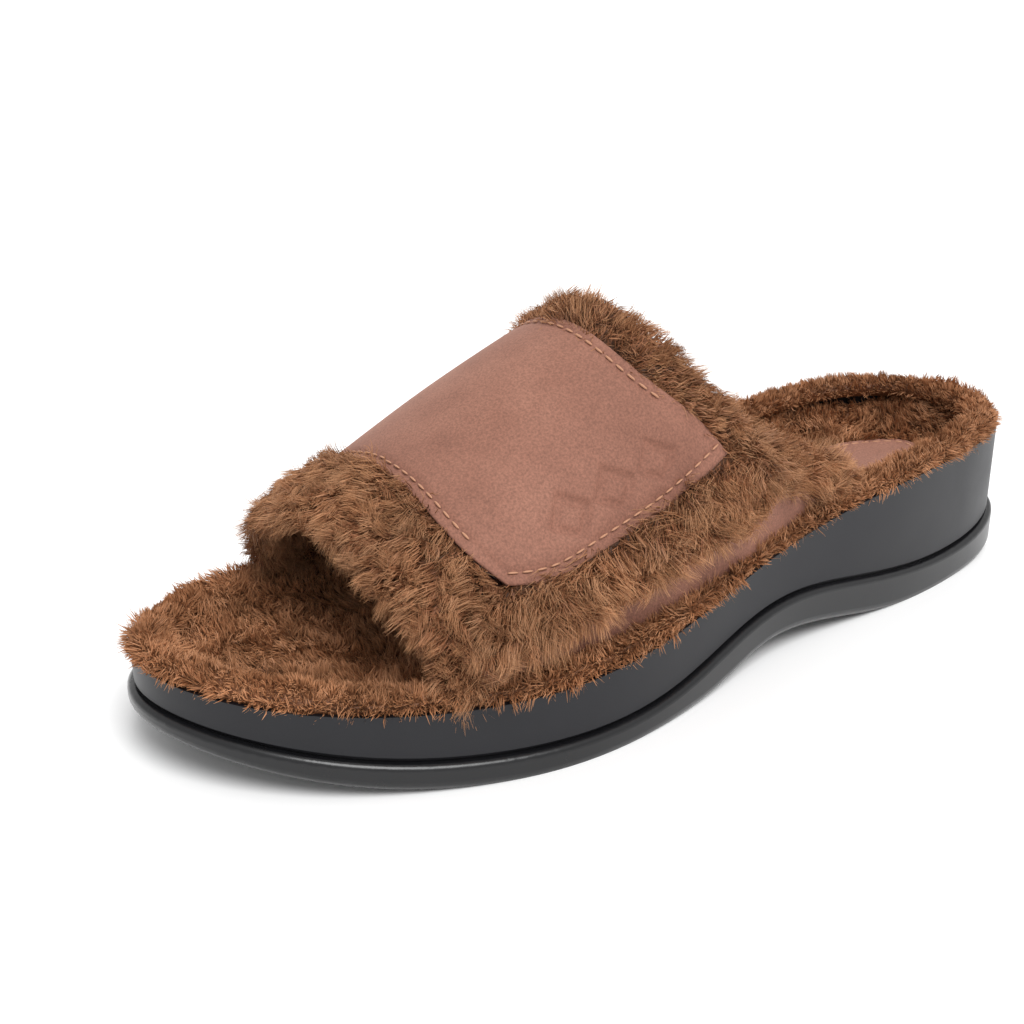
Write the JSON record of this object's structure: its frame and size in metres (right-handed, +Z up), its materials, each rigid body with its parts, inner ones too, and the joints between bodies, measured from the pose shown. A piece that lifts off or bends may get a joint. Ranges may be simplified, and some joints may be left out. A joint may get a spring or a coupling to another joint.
{
  "type": "fluffy house slipper",
  "caption": "Open-toe, open-back slide slipper for a left foot, with a fleece-covered footbed, fur-edged strap that lifts open, and a moulded sole.",
  "frame": {"origin": "centre of the bounding box in plan, on the ground", "axes": "+Y to the toe, +X to the medial (big toe) side, +Z up"},
  "size_m": [0.1009, 0.2668, 0.0943],
  "materials": {
    "sole_rubber": "satin moulded rubber",
    "midsole_pu": "satin moulded polyurethane",
    "footbed_foam": "matt moulded foam",
    "fleece": "brushed plush pile",
    "fur_trim": "long plush pile",
    "nubuck": "matt nubuck",
    "strap_foam": "open-cell foam",
    "closure_tape": "woven hook and loop tape"
  },
  "bodies": {
    "sole": {"outsole": "sole_rubber", "midsole": "midsole_pu", "footbed": "footbed_foam", "footbed_cover": "fleece", "heel_patch": "nubuck", "strap_margin": "nubuck", "flap_leather": "nubuck", "flap_lining": "fleece", "flap_front_cuff": "fur_trim", "flap_rear_cuff": "fur_trim", "loop_pad": "closure_tape"},
    "strap": {"strap_leather": "nubuck", "strap_foam": "strap_foam", "strap_lining": "fleece", "strap_front_cuff": "fur_trim", "strap_end_cuff": "fur_trim", "strap_rear_cuff": "fur_trim", "hook_pad": "closure_tape"}
  },
  "joints": [
    {"name": "strap_hinge", "type": "hinge", "parent": "sole", "child": "strap", "pos_m": [0.049, 0.04, 0.0257], "axis": [0.1146, 0.9823, -0.1485], "range_deg": [0, 70]}
  ]
}
